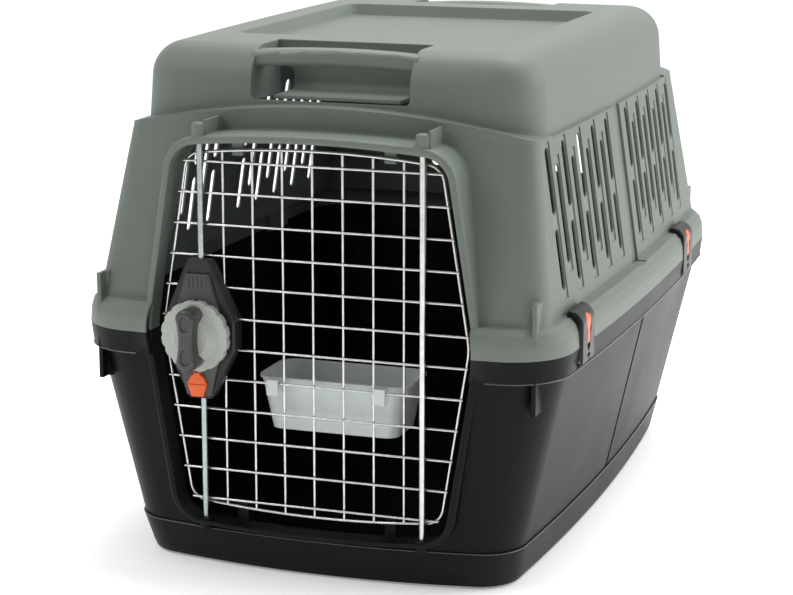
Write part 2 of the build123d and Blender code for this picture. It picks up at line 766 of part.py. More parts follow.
# Upper shell
with BuildPart() as upper_shell:
    # Belt, walls and roof block
    add(cap_form.part)
    loft(sections=[hood(ledge_z - wall, 0), hood(ridge_z, 0)], ruled=True)
    add(roof_form.part)
    add(brow)
    mirror(brow, about=Plane.XZ)
    add(surround_high.part)
    add(bosses_high.part)
    add(lugs_high.part)
    # Inside of belt, walls and roof block
    loft(
        sections=[
            belt(seam_z, wall),
            belt(seam_z + cap_h * 0.5, wall + 1.0),
            belt(seam_z + cap_h * 0.8 - wall, wall + 3.5),
            belt(ledge_z - wall, wall + 9.5),
        ],
        ruled=True,
        mode=Mode.SUBTRACT,
    )
    loft(sections=[hood(ledge_z - 2 * wall, wall), hood(ridge_z - wall, wall)], ruled=True,
         mode=Mode.SUBTRACT)
    add(roof_void.part, mode=Mode.SUBTRACT)
    add(brow_void, mode=Mode.SUBTRACT)
    mirror(brow_void, about=Plane.XZ, mode=Mode.SUBTRACT)
    add(tunnel_high.part)
    add(doorway.part, mode=Mode.SUBTRACT)
    # Tray in the roof: its pan inside, then the hollow
    with BuildSketch(Plane.XY.offset(roof_top - tray_depth - wall)):
        RectangleRounded(2 * (tray_half_w + wall), 2 * (tray_half_d + wall), 15)
    extrude(amount=tray_depth)
    with BuildSketch(Plane.XY.offset(roof_top - tray_depth)):
        RectangleRounded(2 * tray_half_w - 12, 2 * tray_half_d - 12, 10)
    with BuildSketch(Plane.XY.offset(roof_top)):
        RectangleRounded(2 * tray_half_w, 2 * tray_half_d, 15)
    loft(mode=Mode.SUBTRACT)
    # Handles at both ends
    add(hand_space.part, mode=Mode.SUBTRACT)
    mirror(hand_space.part, about=Plane.XZ, mode=Mode.SUBTRACT)
    for piece in (cheeks.part, scoop.part, handle_bar.part):
        add(piece)
        mirror(piece, about=Plane.XZ)
    # Recesses in the belt for the clips
    add(recess_walls_high.part)
    add(clip_blocks(seam_z - 1, ledge_z + clip_over, 0, 0), mode=Mode.SUBTRACT)
    # Stops, rod holes, grooves and vents
    add(stops.part.solids().filter_by(lambda s: s.center().Z > door_mid))
    add(rod_holes.part, mode=Mode.SUBTRACT)
    add(groove_backs.part)
    add(grooves.part, mode=Mode.SUBTRACT)
    add(flutes.part, mode=Mode.SUBTRACT)
    add(vents.part, mode=Mode.SUBTRACT)
upper_shell.part.label = "upper_shell"
export_step(upper_shell.part, "parts/upper_shell.step")

# Wire door: bent frame
with BuildPart() as door_frame:
    path = (Plane.XZ.offset(-frame_y) * door_shape(frame_half, frame_low, frame_high, frame_corner)).wire()
    with BuildSketch(Plane(origin=path @ 0, z_dir=path % 0)):
        Circle(frame_wire / 2)
    sweep(path=path)
door_frame.part.label = "door_frame"
export_step(door_frame.part, "parts/door_frame.step")

# Upright wires in the plane of the frame, cut off where they meet it
with BuildPart() as door_verticals:
    with BuildSketch(Plane.XY.offset(frame_low - 5)):
        with Locations([(x, column_y) for x in columns]):
            Circle(mesh_wire / 2)
    extrude(amount=frame_high - frame_low + 10)
    with BuildSketch(Plane.XZ.offset(-column_y + mesh_wire)):
        bite = frame_wire / 2 - weld
        add(door_shape(frame_half - bite, frame_low + bite, frame_high - bite, frame_corner - bite))
    extrude(amount=-2 * mesh_wire, mode=Mode.INTERSECT)
door_verticals.part.label = "door_verticals"
export_step(door_verticals.part, "parts/door_verticals.step")

# Cross wires in front of frame and uprights, cut a little outside the frame
with BuildPart() as door_horizontals:
    with BuildSketch(Plane.YZ.offset(-frame_half - 5)):
        with Locations([(row_y, z) for z in rows]):
            Circle(mesh_wire / 2)
    extrude(amount=2 * frame_half + 10)
    with BuildSketch(Plane.XZ.offset(-row_y + mesh_wire)):
        over = frame_wire / 2 + 0.5
        add(door_shape(frame_half + over, frame_low - over, frame_high + over, frame_corner + over))
    extrude(amount=-2 * mesh_wire, mode=Mode.INTERSECT)
door_horizontals.part.label = "door_horizontals"
export_step(door_horizontals.part, "parts/door_horizontals.step")

# Hinge rod, welded to the cross wires, its ends free to turn in the bosses
with BuildPart() as hinge_rod:
    with BuildSketch(Plane.XY.offset(rod_low)):
        with Locations((rod_x, hinge_y)):
            Circle(rod_d / 2)
    extrude(amount=rod_high - rod_low)
    chamfer(hinge_rod.edges().filter_by(GeomType.CIRCLE), 0.6)
hinge_rod.part.label = "hinge_rod"
export_step(hinge_rod.part, "parts/hinge_rod.step")


def lock_shape(half, up, down, tip):
    """Six-sided outline of the lock, in the plane's own X and Y round its middle."""
    with BuildSketch() as outline:
        with BuildLine():
            Polyline(
                (-tip, up), (tip, up), (half, 14), (half, -14),
                (tip, -down), (-tip, -down), (-half, -14), (-half, 14),
                close=True,
            )
        make_face()
        fillet(outline.vertices(), 4)
    return outline.sketch


def at_lock(y):
    """Plane across the lock at y, with its origin on the dial's axis."""
    return Plane(origin=(-rod_x, y, lock_z), x_dir=(1, 0, 0), z_dir=(0, -1, 0))


# Places of the screws, clear of every mesh wire
screw_spots = [(-20, 30), (14.5, 29.5), (-17, -29.5), (8.5, -52)]

# Black housing in front of the mesh, open at the back
with BuildPart() as lock_housing:
    with BuildSketch(at_lock(lock_back)):
        add(lock_shape(lock_half, lock_up, lock_down, lock_tip))
    extrude(amount=lock_depth)
    chamfer(lock_housing.faces().sort_by(Axis.Y)[0].edges(), 2.0)
    with BuildSketch(at_lock(lock_back)):
        add(lock_shape(lock_half - lock_wall, lock_up - lock_wall, lock_down - lock_wall, lock_tip - lock_wall))
    extrude(amount=lock_depth - lock_wall, mode=Mode.SUBTRACT)
    # Posts for the screws
    with BuildSketch(at_lock(lock_back)):
        with Locations(screw_spots):
            Circle(screw_d / 2 + 2.2)
    extrude(amount=lock_depth - 0.5)
    with BuildSketch(at_lock(lock_back)):
        with Locations(screw_spots):
            Circle(screw_d / 2 + 0.02)
    extrude(amount=lock_depth - lock_wall, mode=Mode.SUBTRACT)
    # Ways out for the two bolts and the hole for the axle
    with BuildSketch(Plane.XY.offset(lock_z - lock_down - 2)):
        with Locations((-rod_x, bolt_y)):
            Circle(rod_d / 2 + rod_play)
        with Locations((-rod_x, bolt_y + rod_d)):
            Rectangle(rod_d + 2 * rod_play, 2 * rod_d)
    extrude(amount=lock_up + lock_down + 4, mode=Mode.SUBTRACT)
    with BuildSketch(at_lock(lock_back)):
        Circle(axle_d / 2 + axle_play)
    extrude(amount=lock_depth, mode=Mode.SUBTRACT)
lock_housing.part.label = "lock_housing"
export_step(lock_housing.part, "parts/lock_housing.step")

# Plate behind the mesh
plate_front = column_y + mesh_wire / 2 + 0.05
with BuildPart() as lock_back_plate:
    with BuildSketch(at_lock(plate_front + plate_t)):
        add(lock_shape(lock_half - 1, lock_up - 6, lock_down - 6, lock_tip - 1))
    extrude(amount=plate_t)
    with BuildSketch(at_lock(plate_front + plate_t)):
        with Locations(screw_spots):
            Circle(screw_d / 2 + 0.2)
    extrude(amount=plate_t, mode=Mode.SUBTRACT)
    # Feet that reach forward through the mesh to the posts
    with BuildSketch(at_lock(plate_front)):
        with Locations(screw_spots):
            Circle(screw_d / 2 + 2.2)
            Circle(screw_d / 2 + 0.2, mode=Mode.SUBTRACT)
    extrude(amount=plate_front - lock_back - 0.05)
lock_back_plate.part.label = "lock_back_plate"
export_step(lock_back_plate.part, "parts/lock_back_plate.step")

# Screws from the back plate into the posts
with BuildPart() as lock_screws:
    with BuildSketch(at_lock(plate_front + plate_t + 2)):
        with Locations(screw_spots):
            Circle(screw_head / 2)
    extrude(amount=1.95)
    with BuildSketch(at_lock(plate_front + plate_t + 0.1)):
        with Locations(screw_spots):
            Circle(screw_d / 2)
    extrude(amount=plate_front + plate_t - lock_back + 6)
    with BuildSketch(at_lock(plate_front + plate_t + 2)):
        with Locations(screw_spots):
            Rectangle(screw_head - 2, 0.9)
            Rectangle(0.9, screw_head - 2)
    extrude(amount=1.0, mode=Mode.SUBTRACT)
lock_screws.part.label = "lock_screws"
export_step(lock_screws.part, "parts/lock_screws.step")

# Grey cover on the housing: a long tapered shield
peak = lock_up - cover_inset_top
tip = lock_tip - 0.5
cover_half = lock_half - cover_inset_w
with BuildPart() as lock_cover:
    with BuildSketch(at_lock(lock_front - 0.05)):
        with BuildLine():
            Polyline(
                (-tip, peak), (tip, peak), (cover_half, 22), (cover_half, -20),
                (lock_tip, -lock_down + 4), (-lock_tip, -lock_down + 4), (-cover_half, -20), (-cover_half, 22),
                close=True,
            )
        make_face()
        Circle(axle_d / 2 + axle_play, mode=Mode.SUBTRACT)
        with Locations((0, button_z - lock_z)):
            Rectangle(2 * spring_r + 2, button_up + button_down - 4, mode=Mode.SUBTRACT)
    extrude(amount=cover_t - 0.05)
    chamfer(lock_cover.faces().sort_by(Axis.Y)[0].outer_wire().edges(), 1.2)
    # Short grip ribs near the top
    with BuildSketch(at_lock(cover_front + 0.6)):
        with GridLocations(4.2, 0, 5, 1):
            with Locations((0, 50)):
                SlotOverall(11, 1.6, rotation=90)
    extrude(amount=1.4)
lock_cover.part.label = "lock_cover"
export_step(lock_cover.part, "parts/lock_cover.step")


def rack_bolt(name, turn):
    """Bolt rod with its rack, turned about the dial's axis by turn degrees."""
    stem = rod_high - lock_z
    length = stem if turn == 0 else lock_z - rod_low
    low = -pinion_r * 1.2
    high = bolt_travel + pinion_r * 1.2
    arm = high + 4.5
    teeth = int((high - low) / (tooth_module * pi)) + 1
    with BuildPart() as bolt:
        # Rack bar beside the pinion
        with BuildSketch(at_lock(bolt_y + rack_t / 2)):
            with Locations((-rack_x + rack_back / 2, (low + high) / 2)):
                Rectangle(rack_back, high - low)
            with Locations((-rack_x + rack_back / 2, arm - 3)):
                Rectangle(rack_back, 6)
            for i in range(teeth):
                z = (i + 0.5 - int(-low / (tooth_module * pi)) - 1) * tooth_module * pi
                if low + 2 < z < high - 2:
                    with BuildLine():
                        Polyline(
                            (-rack_x + rack_back - 0.2, z + tooth_module * 1.15),
                            (-pinion_r + tooth_module * 0.8, z + tooth_module * 0.28),
                            (-pinion_r + tooth_module * 0.8, z - tooth_module * 0.28),
                            (-rack_x + rack_back - 0.2, z - tooth_module * 1.15),
                            close=True,
                        )
                    make_face()
            # Arm across to the rod
            with Locations(((rod_d / 2 - rack_x) / 2, arm)):
                Rectangle(rack_x + rod_d / 2, 8)
        extrude(amount=rack_t)
        # Rod
        with BuildSketch(Plane(origin=(-rod_x, bolt_y, lock_z + arm))):
            Circle(rod_d / 2)
        extrude(amount=length - arm)
        chamfer(bolt.faces().sort_by(Axis.Z)[-1].edges(), 0.8)
    turned = bolt.part.rotate(Axis((-rod_x, bolt_y, lock_z), (0, 1, 0)), turn)
    turned.label = name
    export_step(turned, f"parts/{name}.step")


rack_bolt("upper_bolt", 0)
rack_bolt("lower_bolt", 180)


def pinion_tooth():
    """One tooth pointing along X, from below the root circle to its tip."""
    root = pinion_r - 1.35 * tooth_module
    tip = pinion_r + 0.8 * tooth_module
    with BuildSketch() as tooth:
        with BuildLine():
            Polyline(
                (root, tooth_module * 0.95), (pinion_r, tooth_module * 0.66), (tip, tooth_module * 0.28),
                (tip, -tooth_module * 0.28), (pinion_r, -tooth_module * 0.66), (root, -tooth_module * 0.95),
                close=True,
            )
        make_face()
    return tooth.sketch


# Toothed wheel between the racks
with BuildPart() as dial_pinion:
    with BuildSketch(at_lock(bolt_y + rack_t / 2)):
        Circle(pinion_r - 1.25 * tooth_module)
        with PolarLocations(0, pinion_teeth):
            add(pinion_tooth())
        Circle(axle_d / 2 + 0.02, mode=Mode.SUBTRACT)
    extrude(amount=rack_t)
dial_pinion.part.label = "dial_pinion"
export_step(dial_pinion.part, "parts/dial_pinion.step")

# Pin that holds pinion, wheel and grip together
with BuildPart() as dial_axle:
    with BuildSketch(at_lock(bolt_y + rack_t / 2 + 0.2)):
        Circle(axle_d / 2)
    extrude(amount=bolt_y + rack_t / 2 - dial_front + 14)
dial_axle.part.label = "dial_axle"
export_step(dial_axle.part, "parts/dial_axle.step")

# Pale scalloped wheel with a swelling hub
with BuildPart() as dial_wheel:
    with BuildSketch(at_lock(dial_back)) as dial_wheel_outline:
        Circle(dial_r)
        with PolarLocations(dial_r + 3.4, dial_lobes):
            Circle(4.6, mode=Mode.SUBTRACT)
        fillet(dial_wheel_outline.vertices(), 1.2)
    extrude(amount=dial_t)
    chamfer(dial_wheel.faces().sort_by(Axis.Y)[0].edges(), 0.8)
    with BuildSketch(at_lock(dial_front)):
        Circle(hub_r)
    extrude(amount=9, taper=38)
    with BuildSketch(at_lock(dial_back)):
        Circle(axle_d / 2 + 0.02)
    extrude(amount=dial_t + 20, mode=Mode.SUBTRACT)
dial_wheel.part.label = "dial_wheel"
export_step(dial_wheel.part, "parts/dial_wheel.step")

# Dark waisted grip bar standing on the wheel
with BuildPart() as dial_grip:
    with BuildSketch(at_lock(dial_front + 2)):
        with BuildLine():
            half_l = grip_len / 2
            round_r = grip_w / 2
            ThreePointArc((round_r, half_l - round_r), (0, half_l), (-round_r, half_l - round_r))
            ThreePointArc((-round_r, half_l - round_r), (-grip_waist / 2, 0), (-round_r, round_r - half_l))
            ThreePointArc((-round_r, round_r - half_l), (0, -half_l), (round_r, round_r - half_l))
            ThreePointArc((round_r, round_r - half_l), (grip_waist / 2, 0), (round_r, half_l - round_r))
        make_face()
    extrude(amount=dial_front + 2 - grip_front)
    fillet(dial_grip.faces().sort_by(Axis.Y)[0].edges(), 4)
    # Two finger dimples in its face
    with BuildSketch(at_lock(grip_front)):
        with Locations((0, 16), (0, -16)):
            SlotOverall(15, 9, rotation=90)
    extrude(amount=-1.6, taper=25, mode=Mode.SUBTRACT)
    add(dial_wheel.part, mode=Mode.SUBTRACT)
    add(dial_axle.part, mode=Mode.SUBTRACT)
dial_grip.part.label = "dial_grip"
export_step(dial_grip.part, "parts/dial_grip.step")

# Orange catch button below the wheel
with BuildPart() as safety_button:
    with BuildSketch(at_lock(cover_front - 0.3)):
        with BuildLine():
            low_z = button_z - lock_z - button_down
            mid_z = button_z - lock_z
            top_z = button_z - lock_z + button_up
            Polyline(
                (-6, low_z), (6, low_z), (button_half, mid_z), (6.5, top_z - 4),
                (3.5, top_z - 2), (3.5, top_z),
                (-3.5, top_z), (-3.5, top_z - 2), (-6.5, top_z - 4), (-button_half, mid_z),
                close=True,
            )
        make_face()
    extrude(amount=button_t)
    chamfer(safety_button.faces().sort_by(Axis.Y)[0].edges(), 0.8)
    # Thumb groove
    with BuildSketch(at_lock(cover_front - 0.3 - button_t)):
        with Locations((0, mid_z)):
            Rectangle(2 * button_half, 1.4)
    extrude(amount=-0.9, mode=Mode.SUBTRACT)
    # Stem in the slot of the cover, on which the spring pushes
    with BuildSketch(at_lock(lock_front - 0.4)):
        with Locations((0, mid_z + 4)):
            Rectangle(2 * spring_r, 6)
    extrude(amount=cover_t)
safety_button.part.label = "safety_button"
export_step(safety_button.part, "parts/safety_button.step")

# Coil spring that pushes the button up
spring_y = lock_front - spring_r - 0.45
spring_foot = button_z - (button_up + button_down - 4) / 2 + 0.4
spring_head = button_z + 1 - 0.1
with BuildPart() as safety_spring:
    with BuildLine():
        coil = Helix(
            pitch=(spring_head - spring_foot - spring_wire) / spring_turns,
            height=spring_head - spring_foot - spring_wire,
            radius=spring_r - spring_wire / 2 - 0.1,
            center=(-rod_x, spring_y, spring_foot + spring_wire / 2),
        )
    with BuildSketch(Plane(origin=coil @ 0, z_dir=coil % 0)):
        Circle(spring_wire / 2)
    sweep(is_frenet=True)
safety_spring.part.label = "safety_spring"
export_step(safety_spring.part, "parts/safety_spring.step")

# Water bowl: tapered tub with a rolled rim and two hooks
bowl_top = rows[bowl_row] + 4.2
bowl_y = bowl_front + bowl_half_d
with BuildPart() as bowl:
    with BuildSketch(Plane.XY.offset(bowl_top - bowl_h)):
        with Locations((bowl_x, bowl_y)):
            foot_w = 2 * (bowl_half_w - bowl_taper_w)
            RectangleRounded(foot_w, 2 * (bowl_half_d - bowl_taper_d), bowl_corner - 4)
    with BuildSketch(Plane.XY.offset(bowl_top)):
        with Locations((bowl_x, bowl_y)):
            RectangleRounded(2 * bowl_half_w - 3, 2 * bowl_half_d - 3, bowl_corner)
    loft()
    with BuildSketch(Plane.XY.offset(bowl_top - 2.2)):
        with Locations((bowl_x, bowl_y)):
            RectangleRounded(2 * bowl_half_w, 2 * bowl_half_d, bowl_corner + 1)
    extrude(amount=2.2)
    with BuildSketch(Plane.XY.offset(bowl_top - bowl_h + bowl_wall)):
        with Locations((bowl_x, bowl_y)):
            RectangleRounded(2 * (bowl_half_w - bowl_taper_w - bowl_wall),
                             2 * (bowl_half_d - bowl_taper_d - bowl_wall), bowl_corner - 4 - bowl_wall)
    with BuildSketch(Plane.XY.offset(bowl_top)):
        with Locations((bowl_x, bowl_y)):
            RectangleRounded(2 * bowl_half_w - 3 - 2 * bowl_wall, 2 * bowl_half_d - 3 - 2 * bowl_wall,
                             bowl_corner - bowl_wall)
    loft(mode=Mode.SUBTRACT)
    # Hooks over a cross wire, with tabs down its front
    hook_front = row_y - mesh_wire / 2 - 0.4 - hook_t
    hook_z = rows[bowl_row] + mesh_wire / 2 + 0.4
    for x in (hook_left, hook_right):
        with BuildSketch(Plane.YZ.offset(x - hook_w / 2)):
            with BuildLine():
                Polyline(
                    (bowl_front + 1.2, bowl_top), (hook_front, bowl_top),
                    (hook_front, bowl_top - hook_drop - 4),
                    (hook_front + hook_t, bowl_top - hook_drop - 4), (hook_front + hook_t, hook_z),
                    (bowl_front + 1.2, hook_z),
                    close=True,
                )
            make_face()
        extrude(amount=hook_w)
bowl.part.label = "bowl"
export_step(bowl.part, "parts/bowl.step")


def shell_clip(name, side, y):
    """Clip with its catch, at y on one side of the belt (side 1 is right)."""
    inner = clip_inner(y)
    outer = inner + clip_t
    reach = wall_x(abs(y) - clip_w / 2, ledge_z) + hook_gap
    pin_x = inner + clip_t / 2
    with BuildPart() as body:
        with BuildSketch(Plane.XZ.offset(-y - clip_w / 2)):
            with BuildLine():
                back = Polyline(
                    (reach + 3, ledge_z + clip_over),
                    (reach, ledge_z + clip_over - 2),
                    (reach, ledge_z + ledge_play),
                    (inner - 4, ledge_z + ledge_play),
                    (inner, ledge_z - 2),
                    (inner, pin_z),
                    (outer, pin_z),
                    (outer, ledge_z - clip_shoulder),
                )
                TangentArc(back @ 1, back @ 0, tangent=(0, 1))
            make_face()
            with Locations((pin_x, pin_z)):
                Circle(clip_t / 2)
        extrude(amount=clip_w)
        fillet(body.edges().filter_by(Axis.Z).group_by(Axis.X)[-1], 2.5)
    with BuildPart() as clip:
        add(body.part)
        # Fork round the lug, bore for the pin
        with BuildSketch(Plane.XZ.offset(-y - lug_w / 2 - catch_play)):
            with Locations((pin_x, pin_z)):
                Rectangle(clip_t + 12, 2 * knuckle_r + 3)
        extrude(amount=lug_w + 2 * catch_play, mode=Mode.SUBTRACT)
        with BuildSketch(Plane.XZ.offset(-y - clip_w)):
            with Locations((pin_x, pin_z)):
                Circle(pin_d / 2 + pin_play)
        extrude(amount=2 * clip_w, mode=Mode.SUBTRACT)
        # Window and inner recess for the catch
        face = Plane(origin=(inner, y, catch_z), x_dir=(0, 1, 0), z_dir=(1, 0, 0))
        head_z = (catch_len - catch_head) / 2
        window_extra = catch_travel + 2 * catch_play
        with BuildSketch(face):
            with Locations((0, -catch_travel / 2)):
                SlotOverall(window_extra + catch_len, catch_w + 2 * catch_play, rotation=90)
            with Locations((0, head_z - catch_travel / 2)):
                SlotOverall(window_extra + catch_head, catch_head + 2 * catch_play, rotation=90)
        extrude(amount=clip_t + 1, mode=Mode.SUBTRACT)
        with BuildSketch(face):
            with Locations((0, -catch_travel / 2)):
                Rectangle(catch_head + 2 * (catch_flange + catch_play), catch_len + catch_travel - 3)
        extrude(amount=2.6, mode=Mode.SUBTRACT)
    with BuildPart() as catch:
        with BuildSketch(face.offset(0.3)):
            SlotOverall(catch_len, catch_w, rotation=90)
            with Locations((0, head_z)):
                Circle(catch_head / 2)
        extrude(amount=clip_t - 0.3)
        chamfer(catch.faces().sort_by(Axis.X)[-1].edges(), 0.8)
        with BuildSketch(face.offset(0.3)):
            Rectangle(catch_head + 2 * catch_flange, catch_len - 6)
        extrude(amount=1.9)
        add(body.part, mode=Mode.INTERSECT)
    with BuildPart() as pin:
        with BuildSketch(Plane.XZ.offset(-y - clip_w / 2 + 3)):
            with Locations((pin_x, pin_z)):
                Circle(pin_d / 2)
        extrude(amount=clip_w - 6)
    pieces = []
    for shape in (clip.part, catch.part, pin.part):
        pieces.append(shape if side == 1 else shape.mirror(Plane.YZ))
    pieces[0].label = "clip_" + name
    pieces[1].label = "catch_" + name
    export_step(pieces[0], f"parts/clip_{name}.step")
    export_step(pieces[1], f"parts/catch_{name}.step")
    return pieces[2]


pins = [
    shell_clip("front_right", 1, clip_front_y),
    shell_clip("front_left", -1, clip_front_y),
    shell_clip("rear_right", 1, clip_rear_y),
    shell_clip("rear_left", -1, clip_rear_y),
]

# Pins that the clips turn on, held in the lugs of the lower belt
with BuildPart() as clip_pins:
    add(pins)
clip_pins.part.label = "clip_pins"
export_step(clip_pins.part, "parts/clip_pins.step")
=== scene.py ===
import math

import bmesh
import bpy
from mathutils import Matrix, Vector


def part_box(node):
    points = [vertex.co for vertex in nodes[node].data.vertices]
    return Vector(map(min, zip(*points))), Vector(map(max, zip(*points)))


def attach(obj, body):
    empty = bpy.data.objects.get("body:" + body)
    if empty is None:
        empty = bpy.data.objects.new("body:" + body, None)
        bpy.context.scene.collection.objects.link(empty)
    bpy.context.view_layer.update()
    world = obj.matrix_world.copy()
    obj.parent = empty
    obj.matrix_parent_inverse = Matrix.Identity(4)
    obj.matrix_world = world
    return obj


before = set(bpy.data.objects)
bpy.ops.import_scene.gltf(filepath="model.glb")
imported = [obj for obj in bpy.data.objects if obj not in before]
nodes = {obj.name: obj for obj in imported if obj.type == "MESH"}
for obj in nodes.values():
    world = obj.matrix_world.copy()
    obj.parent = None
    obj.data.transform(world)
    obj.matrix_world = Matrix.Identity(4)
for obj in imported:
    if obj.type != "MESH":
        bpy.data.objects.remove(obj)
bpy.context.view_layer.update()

# Upper shell
# The lid of the box: grey-green polypropylene, injection moulded in one piece,
# with a fine spark-eroded grain that scatters light, and softly rounded edges.
gloss_swing = 0.16                    # how much the roughness varies over a piece
edge_highlight_colour = (0.62, 0.64, 0.62, 1)   # pale colour painted on convex edges: a painted highlight
grain_depth = 0.0004
mm = 0.001


def moulded_grain():
    """Node group: fine grain and slow mottling of a moulded plastic, and a painted highlight that turns its
    convex edges pale.
    """
    group = bpy.data.node_groups.new("moulded_grain", "ShaderNodeTree")
    for name, kind, way in (
        ("Colour", "NodeSocketColor", "INPUT"),
        ("Grain size", "NodeSocketFloat", "INPUT"),
        ("Mottle", "NodeSocketFloat", "INPUT"),
        ("Edge", "NodeSocketFloat", "INPUT"),
        ("Gloss", "NodeSocketFloat", "INPUT"),
        ("Colour", "NodeSocketColor", "OUTPUT"),
        ("Roughness", "NodeSocketFloat", "OUTPUT"),
        ("Height", "NodeSocketFloat", "OUTPUT"),
    ):
        group.interface.new_socket(name=name, in_out=way, socket_type=kind)
    add = group.nodes.new
    link = group.links.new
    given = add("NodeGroupInput")
    out = add("NodeGroupOutput")
    place = add("ShaderNodeTexCoord")

    # Fine grain, as a height
    grain = add("ShaderNodeTexNoise")
    grain.inputs["Detail"].default_value = 3
    link(place.outputs["Object"], grain.inputs["Vector"])
    link(given.outputs["Grain size"], grain.inputs["Scale"])
    link(grain.outputs["Fac"], out.inputs["Height"])

    # Slow mottling of the colour, from the flow of the melt
    cloud = add("ShaderNodeTexNoise")
    cloud.inputs["Scale"].default_value = 9
    cloud.inputs["Detail"].default_value = 4
    link(place.outputs["Object"], cloud.inputs["Vector"])
    darkest = add("ShaderNodeMath")
    darkest.operation = "SUBTRACT"
    darkest.inputs[0].default_value = 1.0
    link(given.outputs["Mottle"], darkest.inputs[1])
    palest = add("ShaderNodeMath")
    palest.operation = "ADD"
    palest.inputs[0].default_value = 1.0
    link(given.outputs["Mottle"], palest.inputs[1])
    spread = add("ShaderNodeMapRange")
    spread.inputs["From Min"].default_value = 0.3
    spread.inputs["From Max"].default_value = 0.7
    link(cloud.outputs["Fac"], spread.inputs["Value"])
    link(darkest.outputs[0], spread.inputs["To Min"])
    link(palest.outputs[0], spread.inputs["To Max"])
    tinted = add("ShaderNodeVectorMath")
    tinted.operation = "SCALE"
    link(given.outputs["Colour"], tinted.inputs[0])
    link(spread.outputs["Result"], tinted.inputs["Scale"])

    # Painted highlight: convex edges are mixed towards a pale colour, as if catching the light
    shape = add("ShaderNodeNewGeometry")
    edge_highlight_mask = add("ShaderNodeMapRange")
    edge_highlight_mask.inputs["From Min"].default_value = 0.53
    edge_highlight_mask.inputs["From Max"].default_value = 0.62
    link(shape.outputs["Pointiness"], edge_highlight_mask.inputs["Value"])
    amount = add("ShaderNodeMath")
    amount.operation = "MULTIPLY"
    link(edge_highlight_mask.outputs["Result"], amount.inputs[0])
    link(given.outputs["Edge"], amount.inputs[1])
    edge_highlighted = add("ShaderNodeMix")
    edge_highlighted.data_type = "RGBA"
    edge_highlighted.inputs["B"].default_value = edge_highlight_colour
    link(amount.outputs[0], edge_highlighted.inputs["Factor"])
    link(tinted.outputs["Vector"], edge_highlighted.inputs["A"])
    link(edge_highlighted.outputs["Result"], out.inputs["Colour"])

    # The roughness varies a little, with the mottling
    sheen = add("ShaderNodeMath")
    sheen.operation = "MULTIPLY_ADD"
    sheen.inputs[1].default_value = gloss_swing
    link(cloud.outputs["Fac"], sheen.inputs[0])
    link(given.outputs["Gloss"], sheen.inputs[2])
    link(sheen.outputs[0], out.inputs["Roughness"])
    return group


grain_group = moulded_grain()


def plastic(
    name, colour, gloss, grain_size=900.0, bump=0.15, mottle=0.04, edge=0.15, specular=0.5, soft=0.6
):
    """Moulded plastic: gloss is its mean roughness, and soft the rounding of its corners in millimetres."""
    material = bpy.data.materials.new(name)
    material.use_nodes = True
    add = material.node_tree.nodes.new
    link = material.node_tree.links.new
    shader = material.node_tree.nodes["Principled BSDF"]
    shader.inputs["Specular IOR Level"].default_value = specular
    skin = add("ShaderNodeGroup")
    skin.node_tree = grain_group
    skin.inputs["Colour"].default_value = (*colour, 1)
    skin.inputs["Grain size"].default_value = grain_size
    skin.inputs["Mottle"].default_value = mottle
    # Edge sets how strong the painted highlight on convex edges is
    skin.inputs["Edge"].default_value = edge
    skin.inputs["Gloss"].default_value = gloss - gloss_swing / 2
    rounded = add("ShaderNodeBevel")
    rounded.samples = 6
    rounded.inputs["Radius"].default_value = soft * mm
    raised = add("ShaderNodeBump")
    raised.inputs["Strength"].default_value = bump
    raised.inputs["Distance"].default_value = grain_depth
    link(rounded.outputs["Normal"], raised.inputs["Normal"])
    link(skin.outputs["Height"], raised.inputs["Height"])
    link(skin.outputs["Colour"], shader.inputs["Base Color"])
    link(skin.outputs["Roughness"], shader.inputs["Roughness"])
    link(raised.outputs["Normal"], shader.inputs["Normal"])
    return material


def dress(material, *names):
    """Gives CAD nodes their material."""
    for name in names:
        slots = nodes[name].material_slots
        for each in slots:
            each.material = material
        if not slots:
            nodes[name].data.materials.append(material)


grey_green = plastic(
    "grey_green_shell", (0.124, 0.147, 0.127), 0.50,
    bump=0.22, edge=0.05, specular=0.35, soft=2.4,
)
dress(grey_green, "upper_shell")

# Lower shell
# The tub: the same plastic in near-black, moulded with the same grain. It takes
# a faint sheen where light rakes over it.
shell_black = plastic(
    "black_shell", (0.0042, 0.0052, 0.0048), 0.43,
    bump=0.25, mottle=0.12, edge=0.02, specular=0.11, soft=1.6,
)
dress(shell_black, "lower_shell")


# Wire door
# Welded mild steel wire, bright zinc plated: a bent frame, cross wires in
# front of uprights, and the thick hinge rod.
def plated(name, colour, rough, streak=0.12):
    """Zinc plate or bare steel, a little cloudy: streak says how much shade and roughness vary."""
    material = bpy.data.materials.new(name)
    material.use_nodes = True
    add = material.node_tree.nodes.new
    link = material.node_tree.links.new
    shader = material.node_tree.nodes["Principled BSDF"]
    shader.inputs["Metallic"].default_value = 1.0
    place = add("ShaderNodeTexCoord")
    cloud = add("ShaderNodeTexNoise")
    cloud.inputs["Scale"].default_value = 120
    cloud.inputs["Detail"].default_value = 5
    link(place.outputs["Object"], cloud.inputs["Vector"])
    shade = add("ShaderNodeValToRGB")
    dull, bright = shade.color_ramp.elements
    dull.position = 0.3
    dull.color = (*[channel * (1 - 2 * streak) for channel in colour], 1)
    bright.position = 0.7
    bright.color = (*colour, 1)
    link(cloud.outputs["Fac"], shade.inputs["Fac"])
    link(shade.outputs["Color"], shader.inputs["Base Color"])
    gloss = add("ShaderNodeMapRange")
    gloss.inputs["To Min"].default_value = rough
    gloss.inputs["To Max"].default_value = rough + streak
    link(cloud.outputs["Fac"], gloss.inputs["Value"])
    link(gloss.outputs["Result"], shader.inputs["Roughness"])
    return material


bright_zinc = plated("bright_zinc", (0.66, 0.66, 0.64), 0.18)
dress(bright_zinc, "door_frame", "door_verticals", "door_horizontals", "hinge_rod")

